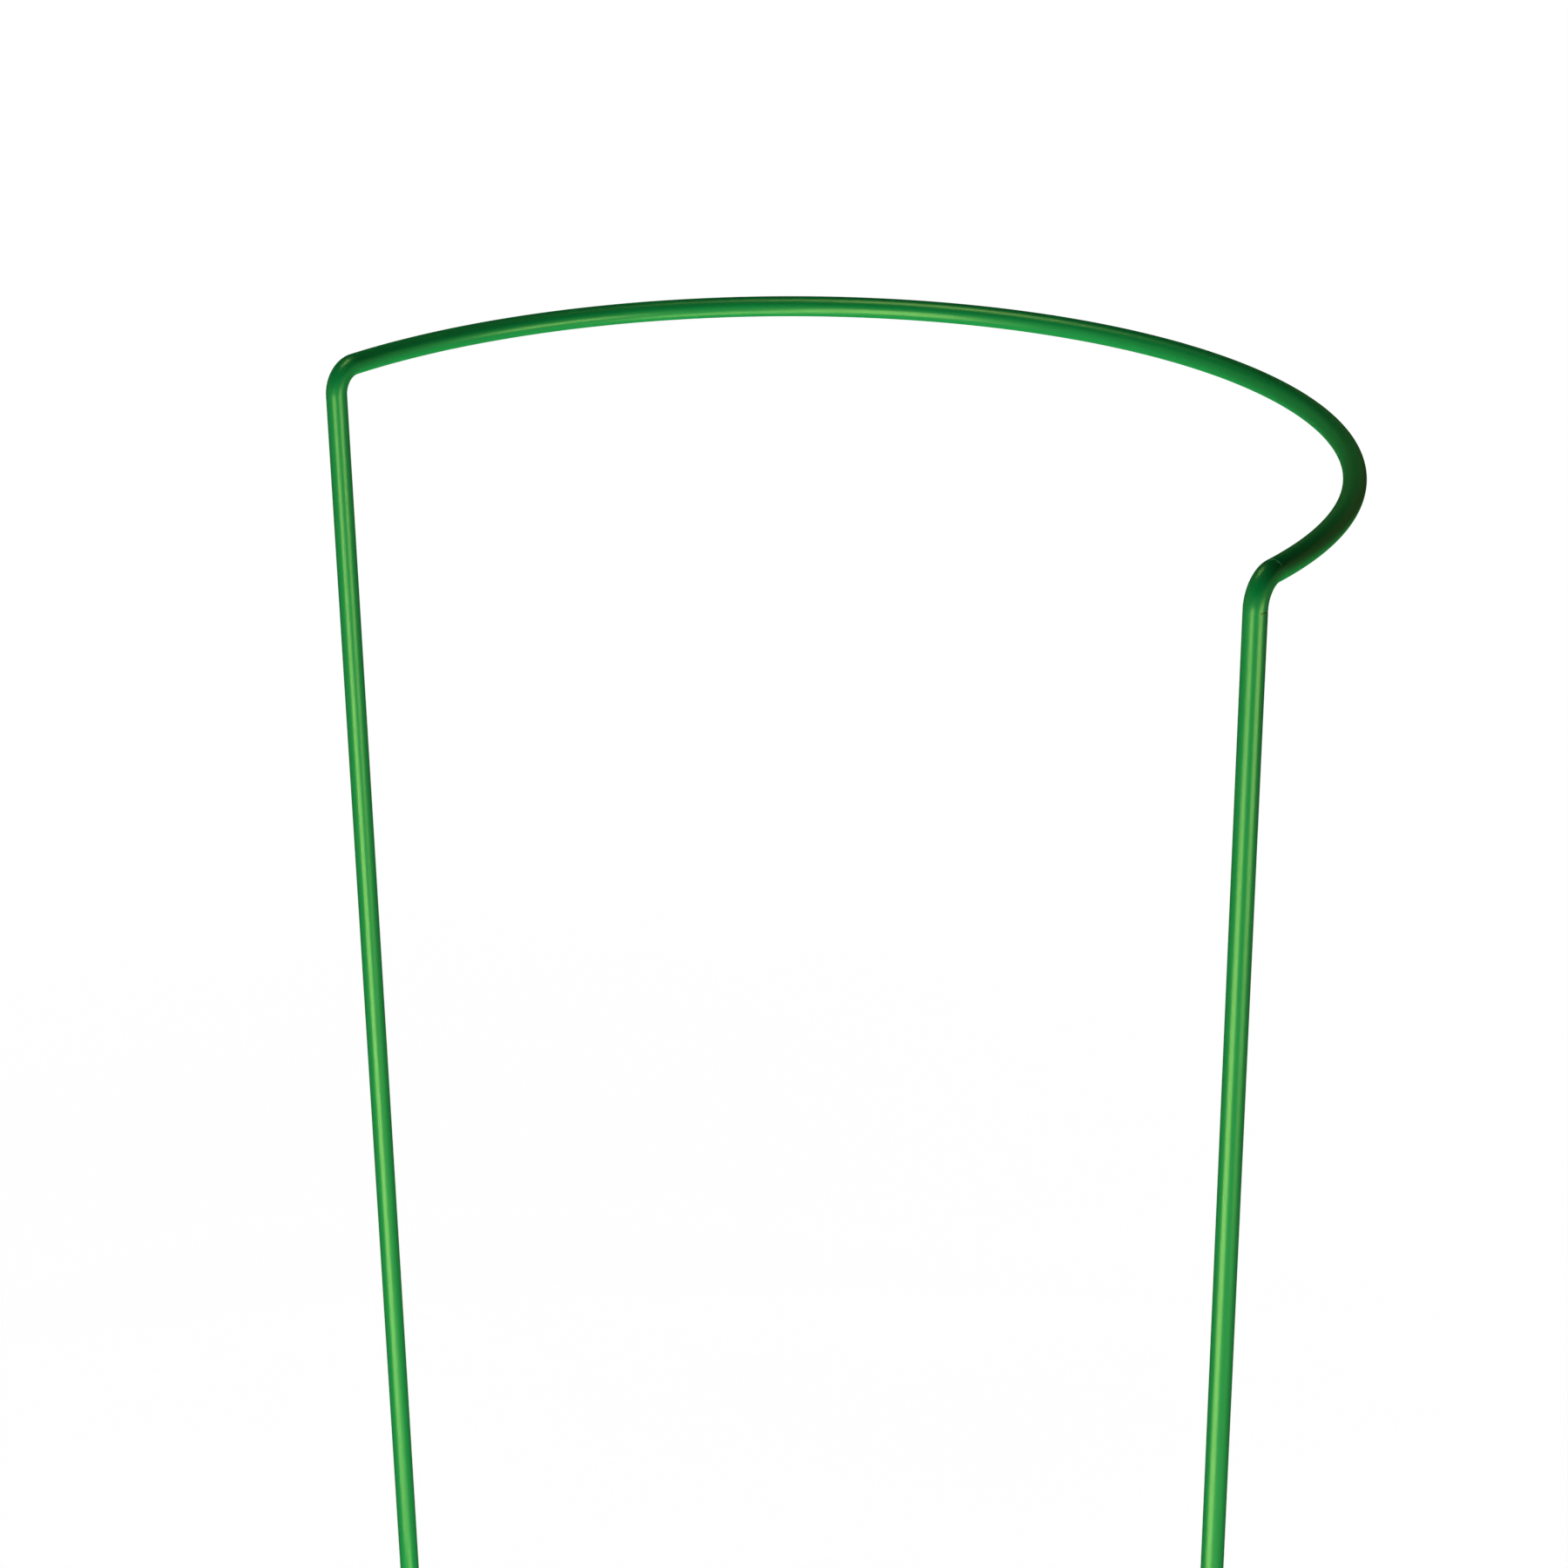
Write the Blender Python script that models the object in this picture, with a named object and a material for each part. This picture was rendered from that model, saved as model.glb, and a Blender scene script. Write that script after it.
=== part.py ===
"""A u-shaped plant support: a level half hoop on two legs that are pushed into the soil.

A thin steel tube with a green plastic sheath is bent into the legs and the hoop in one length, and
a moulded point with a barbed spigot closes each end. Units are metres and +Z is up. The origin is
midway between the legs at the soil line. The legs stand on the X axis, and the hoop reaches to +Y.
"""

import math

import bmesh
import bpy
from mathutils import Vector

# Driving dimensions of the bent rod
ROD_DIAMETER = 0.008
LEG_SPACING = 0.400
OVERALL_HEIGHT = 0.600
DEPTH_IN_SOIL = 0.150
BEND_RADIUS = 0.010

# Walls of the two tubes, one inside the other
SHEATH_WALL = 0.0005
TUBE_WALL = 0.0006
SEAT_GAP = 0.0003

# The moulded point below the rod's cut end
TIP_LENGTH = 0.028
TIP_COLLAR_HEIGHT = 0.004
TIP_COLLAR_LIP = 0.0002
TIP_COLLAR_CHAMFER = 0.0003
TIP_END_RADIUS = 0.001
TIP_CONE_BELLY = 0.0006

# The barbed spigot that holds the point in the bore
SPIGOT_LENGTH = 0.014
SPIGOT_CORE_RADIUS = 0.0018
BARB_COUNT = 3
BARB_PITCH = 0.0036
SPIGOT_NOSE_RADIUS = 0.0013

# How finely round shapes are faceted
SIDES = 20
LEG_STEPS = 4
BEND_STEPS = 8
HOOP_STEPS = 48
CONE_STEPS = 6
SMOOTH_BELOW = math.radians(40)

# Sizes that follow from the driving dimensions
ROD_RADIUS = ROD_DIAMETER / 2
HOOP_RADIUS = LEG_SPACING / 2
HOOP_HEIGHT = OVERALL_HEIGHT - DEPTH_IN_SOIL - ROD_RADIUS
POINT_HEIGHT = -DEPTH_IN_SOIL
SHOULDER_HEIGHT = POINT_HEIGHT + TIP_LENGTH
ROD_END_HEIGHT = SHOULDER_HEIGHT + SEAT_GAP
SHEATH_BORE_RADIUS = ROD_RADIUS - SHEATH_WALL
TUBE_RADIUS = SHEATH_BORE_RADIUS - SEAT_GAP
TUBE_BORE_RADIUS = TUBE_RADIUS - TUBE_WALL
BARB_RADIUS = TUBE_BORE_RADIUS - SEAT_GAP
TIP_COLLAR_RADIUS = ROD_RADIUS + TIP_COLLAR_LIP

X_AXIS = Vector((1, 0, 0))
Z_AXIS = Vector((0, 0, 1))


def clear_scene():
    """Remove whatever the open file holds, so that the model stands alone."""
    for old in list(bpy.data.objects):
        bpy.data.objects.remove(old)


def make_material(name, colour, roughness, metallic):
    """Return a Principled material of one plain finish."""
    material = bpy.data.materials.new(name)
    material.use_nodes = True
    shader = material.node_tree.nodes["Principled BSDF"]
    shader.inputs["Base Color"].default_value = (*colour, 1)
    shader.inputs["Roughness"].default_value = roughness
    shader.inputs["Metallic"].default_value = metallic
    return material


def sheath_plastic():
    """Return the glossy mid green of the extruded sheath."""
    return make_material("sheath_plastic", (0.012, 0.31, 0.06), 0.28, 0.0)


def tip_plastic():
    """Return the duller dark green of the moulded points."""
    return make_material("tip_plastic", (0.008, 0.17, 0.04), 0.45, 0.0)


def tube_steel():
    """Return the bare grey of cold-rolled steel tube."""
    return make_material("tube_steel", (0.46, 0.47, 0.49), 0.38, 1.0)


def add_object(name, bm, material):
    """Finish a bmesh as a named object whose round walls are shaded smooth."""
    bmesh.ops.recalc_face_normals(bm, faces=bm.faces)
    mesh = bpy.data.meshes.new(name)
    bm.to_mesh(mesh)
    bm.free()
    mesh.materials.append(material)
    mesh.shade_smooth()
    mesh.set_sharp_from_angle(angle=SMOOTH_BELOW)
    obj = bpy.data.objects.new(name, mesh)
    bpy.context.collection.objects.link(obj)
    return obj


def ring_section(bm, centre, outer_radius, inner_radius):
    """Return the faces of a flat ring, the cut end of a tube that stands upright at centre."""
    for radius in (outer_radius, inner_radius):
        bmesh.ops.create_circle(bm, segments=SIDES, radius=radius)
    bmesh.ops.translate(bm, verts=bm.verts, vec=centre)
    return bmesh.ops.bridge_loops(bm, edges=bm.edges)["faces"]


def with_borders(section):
    """Return a section's faces with their edges and corners, so that a run leaves no inner wall."""
    edges = [edge for face in section for edge in face.edges]
    corners = [corner for face in section for corner in face.verts]
    return list(dict.fromkeys([*section, *edges, *corners]))


def run_straight(bm, section, offset, steps):
    """Extrude a section along a straight leg in equal steps and return its new end."""
    for _ in range(steps):
        grown = bmesh.ops.extrude_face_region(bm, geom=with_borders(section))["geom"]
        corners = [item for item in grown if isinstance(item, bmesh.types.BMVert)]
        bmesh.ops.translate(bm, verts=corners, vec=offset / steps)
        section = [item for item in grown if isinstance(item, bmesh.types.BMFace)]
    return section


def run_round(bm, section, centre, axis, angle, steps):
    """Turn a section about an axis, as a bending die does, and return its new end."""
    turned = bmesh.ops.spin(
        bm, geom=with_borders(section), cent=centre, axis=axis, angle=angle, steps=steps
    )
    return [item for item in turned["geom_last"] if isinstance(item, bmesh.types.BMFace)]


def bend_tube(name, outer_radius, inner_radius, material):
    """Make one open-ended tube that follows the whole rod, from leg to leg round the hoop."""
    leg_top = HOOP_HEIGHT - BEND_RADIUS
    leg_rise = Z_AXIS * (leg_top - ROD_END_HEIGHT)
    left_bend = Vector((-HOOP_RADIUS, BEND_RADIUS, leg_top))
    hoop_centre = Vector((0, BEND_RADIUS, HOOP_HEIGHT))
    right_bend = Vector((HOOP_RADIUS, BEND_RADIUS, leg_top))
    quarter_turn = math.pi / 2
    half_turn = math.pi

    bm = bmesh.new()
    left_foot = Vector((-HOOP_RADIUS, 0, ROD_END_HEIGHT))
    section = ring_section(bm, left_foot, outer_radius, inner_radius)
    section = run_straight(bm, section, leg_rise, LEG_STEPS)
    section = run_round(bm, section, left_bend, -X_AXIS, quarter_turn, BEND_STEPS)
    section = run_round(bm, section, hoop_centre, -Z_AXIS, half_turn, HOOP_STEPS)
    section = run_round(bm, section, right_bend, X_AXIS, quarter_turn, BEND_STEPS)
    run_straight(bm, section, -leg_rise, LEG_STEPS)
    return add_object(name, bm, material)


def cone_profile():
    """Return (radius, height) points up the point's bellied cone, from its blunt end."""
    foot = TIP_END_RADIUS
    head = ROD_RADIUS - TIP_COLLAR_LIP
    rise = TIP_LENGTH - TIP_COLLAR_HEIGHT
    points = []
    for step in range(CONE_STEPS + 1):
        share = step / CONE_STEPS
        belly = TIP_CONE_BELLY * math.sin(math.pi * share)
        points.append((foot + (head - foot) * share + belly, rise * share))
    return points


def collar_profile():
    """Return points round the collar, whose flat top is the shoulder under the rod's end."""
    foot = TIP_LENGTH - TIP_COLLAR_HEIGHT
    edge = TIP_COLLAR_RADIUS - TIP_COLLAR_CHAMFER
    return [
        (TIP_COLLAR_RADIUS, foot + TIP_COLLAR_LIP * 2),
        (TIP_COLLAR_RADIUS, TIP_LENGTH - TIP_COLLAR_CHAMFER),
        (edge, TIP_LENGTH),
    ]


def spigot_profile():
    """Return points up the spigot, each barb square below and sloped above, so it only goes in."""
    points = [(SPIGOT_CORE_RADIUS, TIP_LENGTH)]
    nose = TIP_LENGTH + SPIGOT_LENGTH
    for barb in range(BARB_COUNT):
        top = nose - BARB_PITCH * (BARB_COUNT - 1 - barb)
        foot = top - BARB_PITCH * 2 / 3
        tip_radius = SPIGOT_NOSE_RADIUS if barb == BARB_COUNT - 1 else SPIGOT_CORE_RADIUS
        points += [(SPIGOT_CORE_RADIUS, foot), (BARB_RADIUS, foot), (tip_radius, top)]
    return points


def mould_tip(name, leg_x, material):
    """Make one pointed end: a turned profile of cone, collar and barbed spigot."""
    bm = bmesh.new()
    outline = cone_profile() + collar_profile() + spigot_profile()
    corners = [bm.verts.new((radius, 0, height)) for radius, height in outline]
    wall = [bm.edges.new(pair) for pair in zip(corners, corners[1:])]
    bmesh.ops.spin(
        bm,
        geom=corners + wall,
        cent=Vector(),
        axis=Z_AXIS,
        angle=math.tau,
        steps=SIDES,
        use_merge=True,
    )
    open_rims = [edge for edge in bm.edges if edge.is_boundary]
    bmesh.ops.holes_fill(bm, edges=open_rims)
    bmesh.ops.translate(bm, verts=bm.verts, vec=Vector((leg_x, 0, POINT_HEIGHT)))
    return add_object(name, bm, material)


def main():
    """Build the support from the tube outwards."""
    clear_scene()
    bend_tube("steel_tube", TUBE_RADIUS, TUBE_BORE_RADIUS, tube_steel())
    bend_tube("plastic_sheath", ROD_RADIUS, SHEATH_BORE_RADIUS, sheath_plastic())
    plastic = tip_plastic()
    for side, name in ((-1, "left_tip"), (1, "right_tip")):
        mould_tip(name, side * HOOP_RADIUS, plastic)


main()
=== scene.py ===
"""The looks of a u-shaped plant support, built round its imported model.

A steel tube in a green plastic sheath is bent into two legs and a level half hoop, and a moulded point
closes each end. This script models the sheath and the points again with their fine forms, gives every piece
its finish, and sets up a white table, soft panels of light and the camera. Units are metres, and +Z is up.
"""

import logging
import math
from collections.abc import Callable, Mapping
from dataclasses import dataclass, field
from enum import Enum

import bpy
from mathutils import Matrix, Vector


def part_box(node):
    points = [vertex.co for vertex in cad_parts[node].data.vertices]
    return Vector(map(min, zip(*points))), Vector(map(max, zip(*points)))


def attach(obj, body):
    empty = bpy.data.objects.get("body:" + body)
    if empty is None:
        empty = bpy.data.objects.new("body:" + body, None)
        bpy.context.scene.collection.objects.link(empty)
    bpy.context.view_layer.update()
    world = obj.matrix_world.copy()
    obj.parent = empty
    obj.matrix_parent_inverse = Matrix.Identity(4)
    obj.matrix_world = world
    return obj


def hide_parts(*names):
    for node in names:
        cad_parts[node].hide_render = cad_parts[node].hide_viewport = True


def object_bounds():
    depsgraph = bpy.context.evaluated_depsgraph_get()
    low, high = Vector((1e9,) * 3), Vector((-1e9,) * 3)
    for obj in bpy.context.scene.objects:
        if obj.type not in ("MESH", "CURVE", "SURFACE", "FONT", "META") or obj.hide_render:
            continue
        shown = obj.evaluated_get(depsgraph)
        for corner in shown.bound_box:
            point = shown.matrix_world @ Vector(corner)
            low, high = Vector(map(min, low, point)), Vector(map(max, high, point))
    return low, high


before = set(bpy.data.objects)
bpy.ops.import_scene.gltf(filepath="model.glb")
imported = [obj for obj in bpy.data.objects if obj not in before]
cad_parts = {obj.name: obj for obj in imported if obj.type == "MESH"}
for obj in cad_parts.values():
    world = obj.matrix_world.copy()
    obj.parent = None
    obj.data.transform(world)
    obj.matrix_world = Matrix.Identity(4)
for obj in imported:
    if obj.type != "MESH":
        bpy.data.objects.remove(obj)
CAD_LOW, CAD_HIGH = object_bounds()

LOG = logging.getLogger("plant_support")
BODY = "root"
MM = 0.001
QUARTER_TURN = math.pi / 2
HALF_TURN = math.pi
X_AXIS = Vector((1, 0, 0))
Y_AXIS = Vector((0, 1, 0))
Z_AXIS = Vector((0, 0, 1))
NOISE_MIDDLE = 0.5
MERGE_DISTANCE = 0.0005 * MM
HEIGHT_TOLERANCE = 0.01 * MM
ROUNDING_SEGMENTS = 2

Triple = tuple[float, float, float]
Colour = Triple


class Reading:
    """A number that a material works out at each point. Python's operators on it add Math nodes."""

    def __init__(self, recipe: "Recipe", socket: bpy.types.NodeSocket) -> None:
        """Wrap one output socket of a recipe's node."""
        self.recipe = recipe
        self.socket = socket

    def __add__(self, other: "Reading | float") -> "Reading":
        """Return this number plus other."""
        return self.recipe.maths("ADD", self, other)

    __radd__ = __add__

    def __sub__(self, other: "Reading | float") -> "Reading":
        """Return this number less other."""
        return self.recipe.maths("SUBTRACT", self, other)

    def __rsub__(self, other: float) -> "Reading":
        """Return other less this number."""
        return self.recipe.maths("SUBTRACT", other, self)

    def __mul__(self, other: "Reading | float") -> "Reading":
        """Return this number times other."""
        return self.recipe.maths("MULTIPLY", self, other)

    __rmul__ = __mul__

    def above(self, low: float, high: float) -> "Reading":
        """Return a smooth step on this number.

        Args:
            low: Where the step starts to rise from 0.
            high: Where it has reached 1.

        Returns:
            The step, from 0 to 1.
        """
        settings = {"interpolation_type": "SMOOTHSTEP"}
        inputs = {"Value": self, "From Min": low, "From Max": high}
        return self.recipe.reading("ShaderNodeMapRange", "Result", settings, inputs)

    def at_least(self, other: "Reading | float") -> "Reading":
        """Return the larger of this number and other."""
        return self.recipe.maths("MAXIMUM", self, other)


class Recipe:
    """The nodes of one material or world while they are put together."""

    FACTOR, FIRST_COLOUR, SECOND_COLOUR = 0, 6, 7
    BLENDED_COLOUR = 2
    FIRST_SHADER, SECOND_SHADER = 1, 2

    def __init__(self, tree: bpy.types.NodeTree) -> None:
        """Empty a node tree, so that every node in it is put there here."""
        self.tree = tree
        self.tree.nodes.clear()

    def node(
        self,
        kind: str,
        settings: Mapping[str, object] | None = None,
        inputs: Mapping[str | int, object] | None = None,
    ) -> bpy.types.Node:
        """Add a node, then make its settings, then fill its sockets.

        Args:
            kind: The node's type, such as ShaderNodeTexNoise.
            settings: Its properties by name.
            inputs: A value, a Reading or an output socket for each input, by name or number.

        Returns:
            The new node.
        """
        made = self.tree.nodes.new(kind)
        for name, value in (settings or {}).items():
            setattr(made, name, value)
        for name, value in (inputs or {}).items():
            self._fill(made.inputs[name], value)
        return made

    def reading(
        self,
        kind: str,
        output: str,
        settings: Mapping[str, object] | None = None,
        inputs: Mapping[str | int, object] | None = None,
    ) -> Reading:
        """Add a node and return one of its outputs as a number.

        Args:
            kind: The node's type.
            output: The name of the output to read.
            settings: As for node.
            inputs: As for node.

        Returns:
            The output, ready for Python's operators.
        """
        return Reading(self, self.node(kind, settings, inputs).outputs[output])

    def maths(self, operation: str, first: Reading | float, second: Reading | float) -> Reading:
        """Add a Math node on two numbers and return its result."""
        return self.reading("ShaderNodeMath", "Value", {"operation": operation}, {0: first, 1: second})

    def noise(self, place: bpy.types.NodeSocket, cells: Triple, detail: float) -> Reading:
        """Return smooth noise that lies about NOISE_MIDDLE.

        Args:
            place: The place to read it at, in metres.
            cells: How large one cell of the noise is along each axis of the place.
            detail: How many finer octaves are added.

        Returns:
            The noise's value.
        """
        counts = tuple(1 / size for size in cells)
        grid = self.node("ShaderNodeVectorMath", {"operation": "MULTIPLY"}, {0: place, 1: counts})
        inputs = {"Vector": grid.outputs["Vector"], "Scale": 1.0, "Detail": detail}
        return self.reading("ShaderNodeTexNoise", "Fac", inputs=inputs)

    def relief(self, height: Reading) -> bpy.types.NodeSocket:
        """Return the normals of a fine relief, whose height is in metres."""
        inputs = {"Strength": 1.0, "Distance": 1.0, "Height": height}
        return self.node("ShaderNodeBump", inputs=inputs).outputs["Normal"]

    def blend(self, share: Reading, first: object, second: object) -> bpy.types.NodeSocket:
        """Return a colour that goes from first to second as share goes from 0 to 1."""
        inputs = {self.FACTOR: share, self.FIRST_COLOUR: first, self.SECOND_COLOUR: second}
        return self.node("ShaderNodeMix", {"data_type": "RGBA"}, inputs).outputs[self.BLENDED_COLOUR]

    def mix(
        self,
        share: Reading | float,
        first: bpy.types.NodeSocket | None,
        second: bpy.types.NodeSocket,
    ) -> bpy.types.NodeSocket:
        """Mix two shaders.

        Args:
            share: How much of the second is in the mix, from 0 to 1.
            first: The first shader, or None for black.
            second: The second shader.

        Returns:
            The mixed shader.
        """
        inputs = {self.FACTOR: share, self.SECOND_SHADER: second}
        if first is not None:
            inputs[self.FIRST_SHADER] = first
        return self.node("ShaderNodeMixShader", inputs=inputs).outputs["Shader"]

    def _fill(self, socket: bpy.types.NodeSocket, value: object) -> None:
        """Link a socket, or give it a plain value.

        Args:
            socket: The input socket to fill.
            value: A Reading, an output socket, or a plain value. A colour is made fully opaque.
        """
        if isinstance(value, Reading):
            self.tree.links.new(value.socket, socket)
        elif isinstance(value, bpy.types.NodeSocket):
            self.tree.links.new(value, socket)
        elif socket.type == "RGBA":
            socket.default_value = (*value, 1.0)
        else:
            socket.default_value = value


def new_recipe(name: str) -> tuple[bpy.types.Material, Recipe]:
    """Make a material without nodes.

    Args:
        name: The material's name.

    Returns:
        The material, and the recipe that fills its nodes.
    """
    material = bpy.data.materials.new(name)
    material.use_nodes = True
    return material, Recipe(material.node_tree)


def seen_directly(recipe: Recipe) -> Reading:
    """Tell rays that show a surface from rays that only carry its light.

    Args:
        recipe: The recipe that gets the nodes.

    Returns:
        1 on a camera, glossy or transmission ray and 0 on any other.
    """
    path = recipe.node("ShaderNodeLightPath")
    camera, glossy, through = (
        Reading(recipe, path.outputs[name])
        for name in ("Is Camera Ray", "Is Glossy Ray", "Is Transmission Ray")
    )
    return camera.at_least(glossy).at_least(through)


class Place(Enum):
    """Where a finish reads its pattern."""

    ALONG_ROD = "rod_place"
    IN_OBJECT = "Object"

    def read(self, recipe: Recipe) -> bpy.types.NodeSocket:
        """Add the node that reads this place.

        Args:
            recipe: The recipe that gets the node.

        Returns:
            The place as a vector, in metres.
        """
        if self is Place.ALONG_ROD:
            settings = {"attribute_type": "GEOMETRY", "attribute_name": self.value}
            return recipe.node("ShaderNodeAttribute", settings).outputs["Vector"]
        return recipe.node("ShaderNodeTexCoord").outputs[self.value]


@dataclass(frozen=True)
class PlasticSkin:
    """The surface of a dyed plastic: a plain body under a thin green gloss."""

    shine_share: float
    shine_colour: Colour

    def finish(
        self, recipe: Recipe, colour: bpy.types.NodeSocket, roughness: Reading, height: Reading
    ) -> None:
        """Put the last nodes of a plastic's material in place.

        Args:
            recipe: The material's recipe.
            colour: The body's colour.
            roughness: How rough the gloss is.
            height: The height of the fine relief, in metres.
        """
        normal = recipe.relief(height)
        body = recipe.node(
            "ShaderNodeBsdfPrincipled",
            inputs={
                "Base Color": colour,
                "Roughness": roughness,
                "Specular IOR Level": 0.0,
                "Normal": normal,
            },
        )
        shine = recipe.node(
            "ShaderNodeBsdfGlossy",
            inputs={"Color": self.shine_colour, "Roughness": roughness, "Normal": normal},
        )
        skin = recipe.mix(self.shine_share, body.outputs["BSDF"], shine.outputs["BSDF"])
        recipe.node("ShaderNodeOutputMaterial", inputs={"Surface": skin})


@dataclass(frozen=True)
class GlossyExtrusion:
    """The sheath's plastic: an even green skin with faint die lines along it and a soft sheen."""

    skin: PlasticSkin = PlasticSkin(shine_share=0.024, shine_colour=(0.62, 1.00, 0.24))
    deep: Colour = (0.003, 0.252, 0.050)
    clear: Colour = (0.004, 0.288, 0.057)
    roughness: float = 0.30
    roughness_spread: float = 0.04
    die_line_cell: float = 0.30 * MM
    die_line_run: float = 90 * MM
    die_line_height: float = 0.00008 * MM
    die_line_share: float = 0.15
    peel_cell: float = 1.6 * MM
    peel_height: float = 0.0002 * MM
    cloud_cell: float = 45 * MM
    scuff_cell: float = 0.5 * MM
    scuff_run: float = 5 * MM
    scuff_onset: float = 0.66
    scuff_full: float = 0.74
    scuff_strength: float = 0.8
    # Painted highlight: a pale green line over the top of the dent where the hoop meets the right bend.
    painted_highlight_colour: Colour = (0.120, 0.750, 0.300)
    # Painted shade: a near-black green in the fold at the head of the right leg.
    painted_crease_shade_colour: Colour = (0.001, 0.050, 0.010)
    mark_core: float = 0.21 * MM
    mark_reach: float = 0.42 * MM
    mark_fade: float = 1.5 * MM

    def material(self, highlight_line_along: float, crease_shade_along: float) -> bpy.types.Material:
        """Return the material, whose pattern follows the rod round its bends.

        Args:
            highlight_line_along: How far along the rod a thin pale green line is painted over its top, a
                painted highlight on the dent where the hoop meets the right bend.
            crease_shade_along: How far along the rod the bending tool pressed a fold into the skin on the
                inside of the bend, where a thin dark ring of painted shade lies.

        Returns:
            The glossy material.
        """
        material, recipe = new_recipe("glossy_green_extrusion")
        place = Place.ALONG_ROD.read(recipe)
        line_cells = (self.die_line_cell, self.die_line_cell, self.die_line_run)
        die_lines = recipe.noise(place, line_cells, detail=1.0)
        peel = recipe.noise(place, (self.peel_cell,) * 3, detail=1.0)
        cloud = recipe.noise(place, (self.cloud_cell,) * 3, detail=2.0)
        scuff_cells = (self.scuff_cell, self.scuff_cell, self.scuff_run)
        scuffs = recipe.noise(place, scuff_cells, detail=3.0).above(self.scuff_onset, self.scuff_full)

        axes = recipe.node("ShaderNodeSeparateXYZ", inputs={"Vector": place})
        inwards, under, along = (Reading(recipe, axes.outputs[name]) for name in "XYZ")
        # Painted highlight: a thin pale ring over the top of the rod where the hoop meets the right bend.
        rub_and_painted_highlight = self._line_at(along, highlight_line_along) * (1 - under.above(-self.mark_fade, 0))
        # Painted shade: a thin dark ring on the inside of the bend where the right leg begins.
        painted_crease_shade = self._line_at(along, crease_shade_along) * (under - inwards).above(0, self.mark_fade)

        shade = (1 - self.die_line_share) * cloud + self.die_line_share * die_lines
        green = recipe.blend(shade, self.deep, self.clear)
        # The painted highlight, then the painted shade, go over the green.
        colour = recipe.blend(painted_crease_shade, recipe.blend(rub_and_painted_highlight, green, self.painted_highlight_colour), self.painted_crease_shade_colour)
        wear = cloud - NOISE_MIDDLE + self.scuff_strength * scuffs
        roughness = self.roughness + self.roughness_spread * wear
        height = self.die_line_height * die_lines + self.peel_height * peel
        self.skin.finish(recipe, colour, roughness, height)
        return material

    def _line_at(self, along: Reading, middle: float) -> Reading:
        """Return 1 on a thin ring round the rod at a distance along it, and 0 away from it."""
        away = (along - middle).at_least(middle - along)
        return 1 - away.above(self.mark_core, self.mark_reach)


@dataclass(frozen=True)
class SatinMoulding:
    """The points' plastic: a darker green with the fine grain of a spark-finished mould."""

    skin: PlasticSkin = PlasticSkin(shine_share=0.020, shine_colour=(0.70, 1.00, 0.60))
    shaded: Colour = (0.006, 0.140, 0.032)
    lit: Colour = (0.011, 0.190, 0.046)
    roughness: float = 0.44
    grain_cell: float = 0.22 * MM
    grain_height: float = 0.0040 * MM
    grain_share: float = 0.25
    grain_roughness: float = 0.12
    flow_cell: float = 6 * MM
    rub_colour: Colour = (0.045, 0.270, 0.085)
    rub_top: float = 3 * MM
    rub_raggedness: float = 0.6
    rub_strength: float = 0.6
    rub_roughness: float = 0.15

    def material(self, point_height: float) -> bpy.types.Material:
        """Return the material, paler where the blunt end has worn against the ground.

        Args:
            point_height: The height of the blunt end.

        Returns:
            The satin material.
        """
        material, recipe = new_recipe("satin_green_moulding")
        place = Place.IN_OBJECT.read(recipe)
        grain = recipe.noise(place, (self.grain_cell,) * 3, detail=2.0)
        flow = recipe.noise(place, (self.flow_cell,) * 3, detail=3.0)
        height = recipe.reading("ShaderNodeSeparateXYZ", "Z", inputs={"Vector": place})
        ragged = height + self.rub_raggedness * self.rub_top * grain
        rub_and_painted_highlight = 1 - ragged.above(point_height, point_height + self.rub_top)

        shade = (1 - self.grain_share) * flow + self.grain_share * grain
        green = recipe.blend(shade, self.shaded, self.lit)
        colour = recipe.blend(self.rub_strength * rub_and_painted_highlight, green, self.rub_colour)
        worn = self.grain_roughness * (grain - NOISE_MIDDLE) + self.rub_roughness * rub_and_painted_highlight
        roughness = self.roughness + worn
        self.skin.finish(recipe, colour, roughness, self.grain_height * grain)
        return material


@dataclass(frozen=True)
class ColdRolledSteel:
    """The tube's steel: bare grey metal with rolling lines and a few dull blooms."""

    dark: Colour = (0.36, 0.37, 0.39)
    bright: Colour = (0.52, 0.53, 0.55)
    bloom: Colour = (0.30, 0.25, 0.20)
    roughness: float = 0.34
    line_cell: float = 0.18 * MM
    line_run: float = 30 * MM
    line_height: float = 0.0015 * MM
    line_roughness: float = 0.10
    bloom_cell: float = 9 * MM
    bloom_onset: float = 0.60
    bloom_full: float = 0.78
    bloom_strength: float = 0.5
    bloom_roughness: float = 0.25
    bloom_dulling: float = 0.4

    def material(self) -> bpy.types.Material:
        """Make the material, whose rolling lines run up the legs.

        Returns:
            The metal material.
        """
        material, recipe = new_recipe("cold_rolled_steel")
        place = Place.IN_OBJECT.read(recipe)
        line_cells = (self.line_cell, self.line_cell, self.line_run)
        lines = recipe.noise(place, line_cells, detail=2.0)
        blooms = recipe.noise(place, (self.bloom_cell,) * 3, detail=4.0)
        blooms = blooms.above(self.bloom_onset, self.bloom_full)

        grey = recipe.blend(lines, self.dark, self.bright)
        colour = recipe.blend(self.bloom_strength * blooms, grey, self.bloom)
        roughness = self.roughness + self.line_roughness * lines + self.bloom_roughness * blooms
        shader = recipe.node(
            "ShaderNodeBsdfPrincipled",
            inputs={
                "Base Color": colour,
                "Metallic": 1 - self.bloom_dulling * blooms,
                "Roughness": roughness,
                "Normal": recipe.relief(self.line_height * lines),
            },
        )
        recipe.node("ShaderNodeOutputMaterial", inputs={"Surface": shader.outputs["BSDF"]})
        return material


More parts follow.
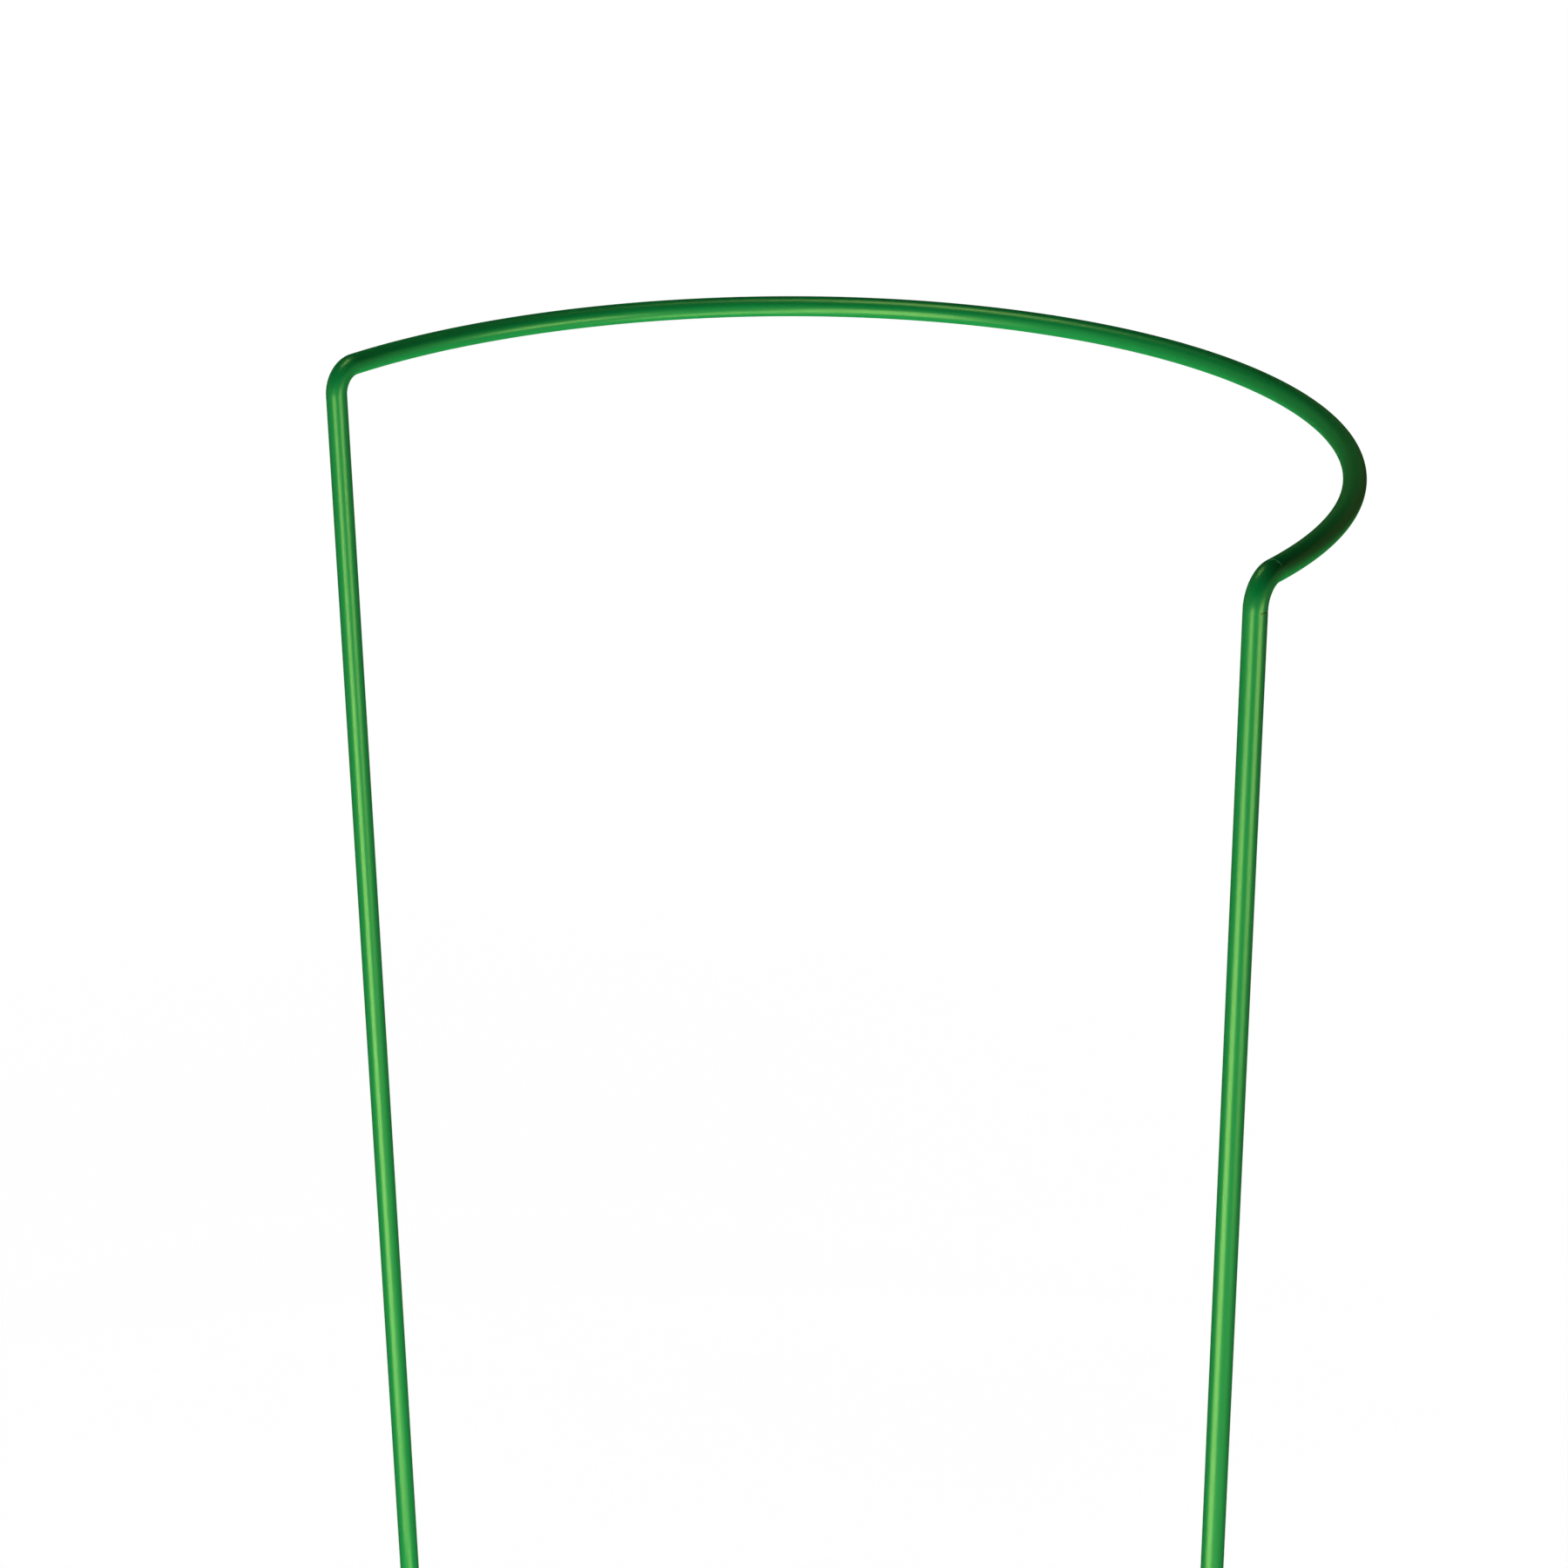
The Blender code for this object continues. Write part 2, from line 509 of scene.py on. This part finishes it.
@dataclass(frozen=True)
class Route:
    """The line through the middle of the bent rod, from the left foot round the hoop to the right foot."""

    rod_radius: float
    half_spacing: float
    bend_radius: float
    hoop_height: float
    foot_height: float

    @classmethod
    def from_frame(cls) -> "Route":
        """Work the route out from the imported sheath's box.

        Returns:
            The route that the sheath follows.
        """
        low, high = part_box("plastic_sheath")
        rod_radius = -low.y
        half_spacing = high.x - rod_radius
        bend_radius = high.y - rod_radius - half_spacing
        return cls(rod_radius, half_spacing, bend_radius, high.z - rod_radius, low.z)

    @property
    def leg_top(self) -> float:
        """Return the height at which the straight legs end and the bends begin."""
        return self.hoop_height - self.bend_radius

    @property
    def leg_length(self) -> float:
        """Return the length of one straight leg."""
        return self.leg_top - self.foot_height

    @property
    def bend_length(self) -> float:
        """Return the length of one bend."""
        return self.bend_radius * QUARTER_TURN

    @property
    def rod_length(self) -> float:
        """Return the length of the rod from the left foot to the right one."""
        return 2 * (self.leg_length + self.bend_length) + self.half_spacing * HALF_TURN

    @property
    def right_leg_head(self) -> float:
        """Return how far along the rod the right bend turns into the leg."""
        return self.rod_length - self.leg_length

    @property
    def right_hoop_end(self) -> float:
        """Return how far along the rod the hoop turns into the right bend."""
        return self.right_leg_head - self.bend_length

    @property
    def left_foot(self) -> Vector:
        """Return the middle of the left leg's cut end."""
        return Vector((-self.half_spacing, 0, self.foot_height))

    @property
    def hoop_centre(self) -> Vector:
        """Return the centre of the half hoop."""
        return Vector((0, self.bend_radius, self.hoop_height))

    def bend_centre(self, side: int) -> Vector:
        """Return the centre of the bend at the top of the left leg (side -1) or the right one (side 1)."""
        return Vector((side * self.half_spacing, self.bend_radius, self.leg_top))

    def unrolled(self, point: Vector) -> Vector:
        """Return a point's place on the rod as if the rod were straight.

        Args:
            point: A point in or on the rod.

        Returns:
            Its offset towards the middle of the support, its offset towards the inside of the bends, and
            how far along the rod it is from the left foot.
        """
        inwards = self.half_spacing - abs(point.x)
        if point.z <= self.leg_top:
            under, along = point.y, point.z - self.foot_height
        elif point.y <= self.bend_radius:
            back, rise = self.bend_radius - point.y, point.z - self.leg_top
            under = self.bend_radius - math.hypot(back, rise)
            along = self.leg_length + self.bend_radius * math.atan2(rise, back)
        else:
            reach = point.y - self.bend_radius
            turn = math.atan2(reach, -point.x)
            inwards = self.half_spacing - math.hypot(point.x, reach)
            along = self.leg_length + self.bend_length + self.half_spacing * turn
            return Vector((inwards, self.hoop_height - point.z, along))
        return Vector((inwards, under, along if point.x < 0 else self.rod_length - along))


class Bench:
    """Edit-mode moves on one open ring at a time, as someone modelling by hand would make them."""

    def __init__(self, name: str, sides: int, radius: float, centre: Vector) -> None:
        """Start a piece from a circle at its size and place, with the whole ring selected.

        Args:
            name: The piece's name.
            sides: How many sides the ring has.
            radius: The ring's radius.
            centre: The ring's middle, whose plane is level.
        """
        bpy.ops.object.select_all(action="DESELECT")
        bpy.ops.mesh.primitive_circle_add(
            vertices=sides, radius=radius, fill_type="NOTHING", location=centre
        )
        bpy.ops.object.transform_apply(location=True, rotation=True, scale=True)
        self.piece = bpy.context.object
        self.piece.name = name
        self.piece.data.name = name
        bpy.ops.object.mode_set(mode="EDIT")

    def push(self, offset: Vector) -> None:
        """Extrude the selected ring by an offset."""
        bpy.ops.mesh.extrude_region_move(TRANSFORM_OT_translate={"value": offset})

    def sweep(self, centre: Vector, axis: Vector, angle: float, steps: int) -> None:
        """Turn the selected ring about an axis through centre, and leave its new end selected."""
        bpy.ops.mesh.spin(steps=steps, angle=angle, center=centre, axis=axis)

    def scale(self, share: float, centre: Vector) -> None:
        """Scale what is selected about a point."""
        bpy.ops.transform.resize(value=(share,) * 3, center_override=centre)

    def shift(self, offset: Vector) -> None:
        """Move what is selected by an offset."""
        bpy.ops.transform.translate(value=offset)

    def choose(self, wanted: Callable[[Vector], bool]) -> None:
        """Select the corners that a test accepts.

        Args:
            wanted: A function from a corner's place to whether it is selected.
        """
        bpy.ops.mesh.select_mode(type="VERT")
        bpy.ops.mesh.select_all(action="DESELECT")
        bpy.ops.object.mode_set(mode="OBJECT")
        for corner in self.piece.data.vertices:
            corner.select = wanted(corner.co)
        bpy.ops.object.mode_set(mode="EDIT")

    def close_up(self) -> None:
        """Merge doubled corners, turn every face outwards and leave edit mode."""
        bpy.ops.mesh.select_all(action="SELECT")
        bpy.ops.mesh.remove_doubles(threshold=MERGE_DISTANCE)
        bpy.ops.mesh.normals_make_consistent(inside=False)
        bpy.ops.object.mode_set(mode="OBJECT")

    def apply(self, kind: str, **settings: object) -> None:
        """Add a modifier, set it up and apply it.

        Args:
            kind: The modifier's type, such as BEVEL.
            settings: Its properties by name.
        """
        modifier = self.piece.modifiers.new(kind.lower(), kind)
        for name, value in settings.items():
            setattr(modifier, name, value)
        bpy.ops.object.modifier_apply(modifier=modifier.name)

    def round_edges(self, width: float, sharp_above: float) -> None:
        """Round the edges that are sharper than an angle, and shade the rest smooth.

        Args:
            width: How far the rounding reaches from an edge.
            sharp_above: The angle.
        """
        settings = {"segments": ROUNDING_SEGMENTS, "limit_method": "ANGLE", "angle_limit": sharp_above}
        self.apply("BEVEL", width=width, **settings)
        bpy.ops.object.shade_smooth_by_angle(angle=sharp_above)


def dress(piece: bpy.types.Object, material: bpy.types.Material) -> None:
    """Give a piece one material and nothing else."""
    piece.data.materials.clear()
    piece.data.materials.append(material)


@dataclass
class Sheath:
    """The green skin of the rod, swept in one length, with the marks that the bending tool left on it."""

    route: Route
    finish: GlossyExtrusion = field(default_factory=GlossyExtrusion)
    wall: float = 0.5 * MM
    sides: int = 64
    leg_rings: int = 12
    bend_rings: int = 24
    hoop_rings: int = 240
    crease_width: float = 0.8 * MM
    crease_depth: float = 0.20 * MM
    end_softening: float = 0.08 * MM
    sharp_above: float = math.radians(40)

    def build(self) -> bpy.types.Object:
        """Model the sheath, dress it and put it in its node's place.

        Returns:
            The finished piece.
        """
        bench = Bench("green_sheath", self.sides, self.route.rod_radius, self.route.left_foot)
        self._follow_route(bench)
        bench.close_up()
        bench.apply("SOLIDIFY", thickness=self.wall, offset=-1.0)
        bench.round_edges(self.end_softening, self.sharp_above)
        self._write_places(bench.piece)
        dress(bench.piece, self.finish.material(self.route.right_hoop_end, self.route.right_leg_head))
        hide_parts("plastic_sheath")
        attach(bench.piece, BODY)
        return bench.piece

    def _follow_route(self, bench: Bench) -> None:
        """Sweep the ring up the left leg, round the hoop and down the right leg.

        Args:
            bench: The bench with the ring of the left leg's cut end.
        """
        route = self.route
        rise = Z_AXIS * route.leg_length
        half_width = self.crease_width / 2
        crease_turn = half_width / route.half_spacing
        crease_drop = -Z_AXIS * half_width
        hoop_end = route.hoop_centre + X_AXIS * route.half_spacing
        leg_head = Vector((route.half_spacing, 0, route.leg_top))

        for _ in range(self.leg_rings):
            bench.push(rise / self.leg_rings)
        bench.sweep(route.bend_centre(-1), X_AXIS, QUARTER_TURN, self.bend_rings)
        bench.sweep(route.hoop_centre, Z_AXIS, HALF_TURN - 2 * crease_turn, self.hoop_rings)
        bench.sweep(route.hoop_centre, Z_AXIS, crease_turn, 1)
        self._dent(bench, hoop_end + Y_AXIS * half_width, -Z_AXIS)
        bench.sweep(route.hoop_centre, Z_AXIS, crease_turn, 1)
        self._undent(bench, hoop_end, -Z_AXIS)
        bench.sweep(route.bend_centre(1), -X_AXIS, QUARTER_TURN, self.bend_rings)
        bench.push(crease_drop)
        self._dent(bench, leg_head + crease_drop, -Y_AXIS)
        bench.push(crease_drop)
        self._undent(bench, leg_head + 2 * crease_drop, -Y_AXIS)
        for _ in range(self.leg_rings):
            bench.push(-(rise + 2 * crease_drop) / self.leg_rings)

    def _dent(self, bench: Bench, centre: Vector, towards: Vector) -> None:
        """Press the selected ring in on one side, easing to nothing on the other.

        Args:
            bench: The bench whose ring is selected.
            centre: The ring's middle.
            towards: The way that the tool pressed.
        """
        bench.scale(1 - self.crease_depth / 2 / self.route.rod_radius, centre)
        bench.shift(towards * self.crease_depth / 2)

    def _undent(self, bench: Bench, centre: Vector, towards: Vector) -> None:
        """Undo a dent on the selected ring, whose middle was moved on to centre since."""
        bench.shift(-towards * self.crease_depth / 2)
        bench.scale(1 / (1 - self.crease_depth / 2 / self.route.rod_radius), centre)

    def _write_places(self, piece: bpy.types.Object) -> None:
        """Store each corner's place along the unrolled rod, which the finish reads.

        Args:
            piece: The finished sheath.
        """
        places = piece.data.attributes.new(Place.ALONG_ROD.value, "FLOAT_VECTOR", "POINT")
        for corner, place in zip(piece.data.vertices, places.data):
            place.vector = self.route.unrolled(corner.co)


class Side(Enum):
    """The two legs, each with its place along X and its packed tip."""

    LEFT = (-1, "left_tip", "left_moulded_tip")
    RIGHT = (1, "right_tip", "right_moulded_tip")

    def __init__(self, sign: int, node: str, piece: str) -> None:
        """Keep what sets one side apart from the other.

        Args:
            sign: The side's sign along X.
            node: The name of its packed tip.
            piece: The name of the tip that is modelled here.
        """
        self.sign = sign
        self.node = node
        self.piece = piece


@dataclass
class MouldedTips:
    """The two moulded points, with a collar under the rod's cut end and a barbed spigot up its bore."""

    route: Route
    finish: SatinMoulding = field(default_factory=SatinMoulding)
    sides: int = 96
    blunt_radius: float = 1.0 * MM
    blunt_rounding: float = 0.25 * MM
    blunt_rings: int = 3
    cone_rings: int = 14
    cone_belly: float = 0.6 * MM
    collar_height: float = 4.0 * MM
    collar_lip: float = 0.15 * MM
    collar_draft: float = 0.05 * MM
    collar_ring_shares: tuple[float, ...] = (0.08, 0.31, 0.54, 0.77, 1.0)
    parting_ridge: float = 0.04 * MM
    seat_gap: float = 0.3 * MM
    spigot_radius: float = 1.8 * MM
    barb_radius: float = 2.3 * MM
    barb_height: float = 2.4 * MM
    barb_pitch: float = 3.6 * MM
    barb_count: int = 3
    nose_radius: float = 1.3 * MM
    edge_rounding: float = 0.10 * MM
    gate_radius: float = 0.6 * MM
    gate_depth: float = 0.06 * MM
    sharp_above: float = math.radians(32)

    def __post_init__(self) -> None:
        """Read the heights of the blunt end, the shoulder and the spigot's nose from the frame."""
        low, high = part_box(Side.LEFT.node)
        self.point_height = low.z
        self.nose_height = high.z
        self.shoulder_height = self.route.foot_height - self.seat_gap

    def build(self) -> list[bpy.types.Object]:
        """Model one tip, copy it to the other leg, and dress and place both.

        Returns:
            The left tip and the right tip.
        """
        left = self._mould()
        bpy.ops.object.duplicate(linked=False)
        right = bpy.context.object
        right.location.x = 2 * self.route.half_spacing
        bpy.ops.object.transform_apply(location=True, rotation=False, scale=False)
        material = self.finish.material(self.point_height)
        for side, piece in zip(Side, (left, right)):
            piece.name = side.piece
            piece.data.name = side.piece
            dress(piece, material)
            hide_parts(side.node)
            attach(piece, BODY)
        return [left, right]

    def _outline(self) -> list[tuple[float, float]]:
        """Draw the outline that is turned about the leg's line.

        Returns:
            (radius, height) pairs from the blunt end's rim up to the spigot's nose.
        """
        rod = self.route.rod_radius
        collar_foot = self.shoulder_height - self.collar_height
        cone_foot = self.point_height + self.blunt_rounding
        outline = []
        for step in range(1, self.blunt_rings + 1):
            turn = QUARTER_TURN * step / self.blunt_rings
            radius = self.blunt_radius + self.blunt_rounding * (math.sin(turn) - 1)
            outline.append((radius, cone_foot - self.blunt_rounding * math.cos(turn)))
        for step in range(1, self.cone_rings + 1):
            share = step / self.cone_rings
            straight = self.blunt_radius + (rod - self.collar_lip - self.blunt_radius) * share
            belly = self.cone_belly * math.sin(HALF_TURN * share)
            outline.append((straight + belly, cone_foot + (collar_foot - cone_foot) * share))
        foot_radius = rod + self.collar_lip - self.collar_draft
        for share in self.collar_ring_shares:
            radius = foot_radius + self.collar_draft * share
            outline.append((radius, collar_foot + self.collar_height * share))
        outline.append((self.spigot_radius, self.shoulder_height))
        for barbs_above in reversed(range(self.barb_count)):
            top = self.nose_height - self.barb_pitch * barbs_above
            foot = top - self.barb_height
            outline.append((self.spigot_radius, foot))
            outline.append((self.barb_radius, foot))
            outline.append((self.spigot_radius if barbs_above else self.nose_radius, top))
        return outline

    def _mould(self) -> bpy.types.Object:
        """Turn the left tip's outline ring by ring, then add what the mould leaves on it.

        Returns:
            The left tip, undressed.
        """
        middle = Vector((-self.route.half_spacing, 0, self.point_height))
        radius = self.blunt_radius - self.blunt_rounding
        bench = Bench(Side.LEFT.piece, self.sides, radius, middle)
        height = self.point_height
        for next_radius, next_height in self._outline():
            bench.push(Z_AXIS * (next_height - height))
            middle.z = next_height
            bench.scale(next_radius / radius, middle)
            radius, height = next_radius, next_height
        bpy.ops.mesh.edge_face_add()
        bench.choose(lambda place: place.z < self.point_height + HEIGHT_TOLERANCE)
        bpy.ops.mesh.edge_face_add()
        self._raise_parting_line(bench)
        self._press_gate_mark(bench)
        bench.close_up()
        bench.round_edges(self.edge_rounding, self.sharp_above)
        return bench.piece

    def _raise_parting_line(self, bench: Bench) -> None:
        """Lift the two seams where the mould's halves met, from the blunt end to the collar's top.

        Args:
            bench: The bench that holds the tip.
        """
        leg_x = -self.route.half_spacing
        half_facet = self.blunt_radius * HALF_TURN / self.sides / 2
        for way in (-1, 1):
            bench.choose(
                lambda place: abs(place.x - leg_x) < half_facet
                and place.y * way > self.blunt_radius
                and place.z < self.shoulder_height - HEIGHT_TOLERANCE
            )
            bench.shift(Y_AXIS * self.parting_ridge * way)

    def _press_gate_mark(self, bench: Bench) -> None:
        """Sink the small scar on the collar where the plastic was let into the mould.

        Args:
            bench: The bench that holds the tip.
        """
        leg_x = -self.route.half_spacing
        gate = Vector((leg_x - self.route.rod_radius, 0, self.shoulder_height - self.collar_height / 2))
        bench.choose(lambda place: (place - gate).length < self.gate_radius and place.x < leg_x)
        bench.shift(X_AXIS * self.gate_depth)


class Purpose(Enum):
    """What a panel's light is for: the colour of the bodies that it falls on, their gloss, or both."""

    COLOUR = (True, False)
    GLOSS = (False, True)
    BOTH = (True, True)

    def __init__(self, lights_colour: bool, lights_gloss: bool) -> None:
        """Keep whether the panel lights colours and whether it lights gloss."""
        self.lights_colour = lights_colour
        self.lights_gloss = lights_gloss


@dataclass(frozen=True)
class Panel:
    """A soft lighting panel. Its direction and distance are from the point that it faces."""

    name: str
    purpose: Purpose
    azimuth: float
    elevation: float
    distance: float
    width: float
    height: float
    irradiance: float

    def hang(self, target: Vector) -> None:
        """Put the panel up, with a power that gives its irradiance at the target.

        Args:
            target: The point that the panel faces.
        """
        azimuth, elevation = math.radians(self.azimuth), math.radians(self.elevation)
        level = math.cos(elevation)
        away = Vector((math.sin(azimuth) * level, -math.cos(azimuth) * level, math.sin(elevation)))
        lamp = bpy.data.lights.new(self.name, "AREA")
        lamp.shape = "RECTANGLE"
        lamp.size = self.width
        lamp.size_y = self.height
        lamp.energy = self.irradiance * math.pi * self.distance**2
        # The gloss would see the table and not a panel under it, so every panel's light starts at the panel.
        lamp.cycles.use_multiple_importance_sampling = False
        holder = bpy.data.objects.new(self.name, lamp)
        holder.location = target + away * self.distance
        holder.rotation_euler = away.to_track_quat("Z", "Y").to_euler()
        holder.visible_camera = False
        holder.visible_diffuse = self.purpose.lights_colour
        holder.visible_glossy = self.purpose.lights_gloss
        bpy.context.scene.collection.objects.link(holder)


@dataclass(frozen=True)
class Viewpoint:
    """Where the photograph was taken from, found by fitting a camera to the rod's outline."""

    place: Triple = (0.71225, -0.89578, 0.80960)
    azimuth: float = 38.0
    elevation: float = 22.8745
    roll: float = 0.6308
    lens: float = 79.8226
    sensor: float = 36.0

    def set_up(self) -> None:
        """Make the camera and look through it."""
        azimuth, elevation = math.radians(self.azimuth), math.radians(self.elevation)
        roll = math.radians(self.roll)
        level = math.cos(elevation)
        ahead = Vector((-math.sin(azimuth) * level, math.cos(azimuth) * level, -math.sin(elevation)))
        flat_right = ahead.cross(Z_AXIS).normalized()
        flat_up = flat_right.cross(ahead)
        up = flat_up * math.cos(roll) + flat_right * math.sin(roll)
        right = ahead.cross(up)
        turn = Matrix((right, up, -ahead)).transposed().to_4x4()
        camera = bpy.data.cameras.new("photo_camera")
        camera.sensor_width = self.sensor
        camera.lens = self.lens
        holder = bpy.data.objects.new("photo_camera", camera)
        holder.matrix_world = Matrix.Translation(self.place) @ turn
        bpy.context.scene.collection.objects.link(holder)
        bpy.context.scene.camera = holder


@dataclass
class Studio:
    """A white light table under a dim ceiling, with soft panels under and round it."""

    table_height: float
    target: Vector
    table_size: float = 40.0
    table_colour: Colour = (0.80, 0.80, 0.80)
    # The panels light the table round lit_middle, so it shines a little less there by itself.
    lit_white: Colour = (0.915, 0.915, 0.915)
    unlit_white: Colour = (0.982, 0.982, 0.982)
    lit_middle: Triple = (-0.19, 0.07, 0.0)
    lit_reach: float = 1.6
    wall_colour: Colour = (1.0, 1.0, 1.0)
    wall_top: float = 0.24
    ceiling_start: float = 0.45
    ceiling_colour: Colour = (0.06, 0.06, 0.06)
    ambient_colour: Colour = (1.0, 1.0, 1.0)
    ambient: float = 0.03
    # After a panel's name and purpose come its azimuth and elevation in degrees, its distance, width and
    # height in metres, and its irradiance in watts per square metre.
    panels: tuple[Panel, ...] = (
        Panel("front_panel", Purpose.BOTH, 9.0, -10.0, 2.2, 1.05, 0.50, 1.62),
        Panel("near_panel", Purpose.GLOSS, 7.0, -31.0, 0.9, 0.60, 0.56, 5.90),
        Panel("right_panel", Purpose.GLOSS, 83.0, -11.5, 2.2, 1.30, 0.90, 2.93),
        Panel("under_panel", Purpose.BOTH, 49.0, -59.0, 2.2, 1.18, 1.40, 3.00),
        Panel("back_panel", Purpose.COLOUR, 215.0, -30.0, 2.2, 1.60, 1.20, 2.00),
        Panel("top_panel", Purpose.COLOUR, -78.0, 75.0, 0.8, 0.30, 0.24, 0.42),
        Panel("top_strip", Purpose.GLOSS, -78.0, 75.0, 0.8, 0.30, 0.24, 1.10),
    )

    def set_up(self) -> None:
        """Lay the table, hang the panels and paint the surroundings."""
        self._lay_table()
        for panel in self.panels:
            panel.hang(self.target)
        self._paint_surroundings()
        bpy.context.scene.view_settings.view_transform = "Standard"

    def _lay_table(self) -> None:
        """Lay the white table top, which shows the object's shadow and lets the panels under it shine up."""
        bpy.ops.object.select_all(action="DESELECT")
        bpy.ops.mesh.primitive_plane_add(size=self.table_size, location=(0, 0, self.table_height))
        table = bpy.context.object
        table.name = "table_top"
        table.visible_shadow = False
        material, recipe = new_recipe("white_table_top")
        surface = recipe.node("ShaderNodeBsdfDiffuse", inputs={"Color": self.table_colour})
        place = Place.IN_OBJECT.read(recipe)
        inputs = {0: place, 1: self.lit_middle}
        away = recipe.reading("ShaderNodeVectorMath", "Value", {"operation": "DISTANCE"}, inputs)
        even = recipe.blend(away.above(0, self.lit_reach), self.lit_white, self.unlit_white)
        white = recipe.node("ShaderNodeEmission", inputs={"Color": even, "Strength": 1.0})
        shown = recipe.mix(seen_directly(recipe), None, white.outputs["Emission"])
        both = recipe.node("ShaderNodeAddShader", inputs={0: surface.outputs["BSDF"], 1: shown})
        recipe.node("ShaderNodeOutputMaterial", inputs={"Surface": both.outputs["Shader"]})
        dress(table, material)

    def _paint_surroundings(self) -> None:
        """Surround the table with white walls that fade to a dim ceiling, and a little even light."""
        world = bpy.data.worlds.new("studio_surroundings")
        world.use_nodes = True
        bpy.context.scene.world = world
        recipe = Recipe(world.node_tree)
        way = recipe.node("ShaderNodeTexCoord").outputs["Generated"]
        height = recipe.reading("ShaderNodeSeparateXYZ", "Z", inputs={"Vector": way})
        fade = height.above(self.wall_top, self.ceiling_start)
        walls = recipe.blend(fade, self.wall_colour, self.ceiling_colour)
        shown = recipe.node("ShaderNodeBackground", inputs={"Color": walls, "Strength": 1.0})
        inputs = {"Color": self.ambient_colour, "Strength": self.ambient}
        glow = recipe.node("ShaderNodeBackground", inputs=inputs)
        light = recipe.mix(seen_directly(recipe), glow.outputs["Background"], shown.outputs["Background"])
        recipe.node("ShaderNodeOutputWorld", inputs={"Surface": light})


def report(piece: bpy.types.Object) -> None:
    """Log a finished piece's name and how many triangles it has."""
    triangles = sum(len(face.vertices) - 2 for face in piece.data.polygons)
    LOG.info("%s: %d triangles", piece.name, triangles)


def main() -> None:
    """Build the pieces from the outside in, then the studio round them."""
    logging.basicConfig(level=logging.INFO, format="%(name)s: %(message)s")
    route = Route.from_frame()
    report(Sheath(route).build())
    for tip in MouldedTips(route).build():
        report(tip)
    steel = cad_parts["steel_tube"]
    dress(steel, ColdRolledSteel().material())
    report(steel)

    under_hoop = Vector((0, route.half_spacing / 2, route.hoop_height - route.half_spacing))
    Studio(table_height=CAD_LOW.z, target=under_hoop).set_up()
    Viewpoint().set_up()


if __name__ == "__main__":
    main()
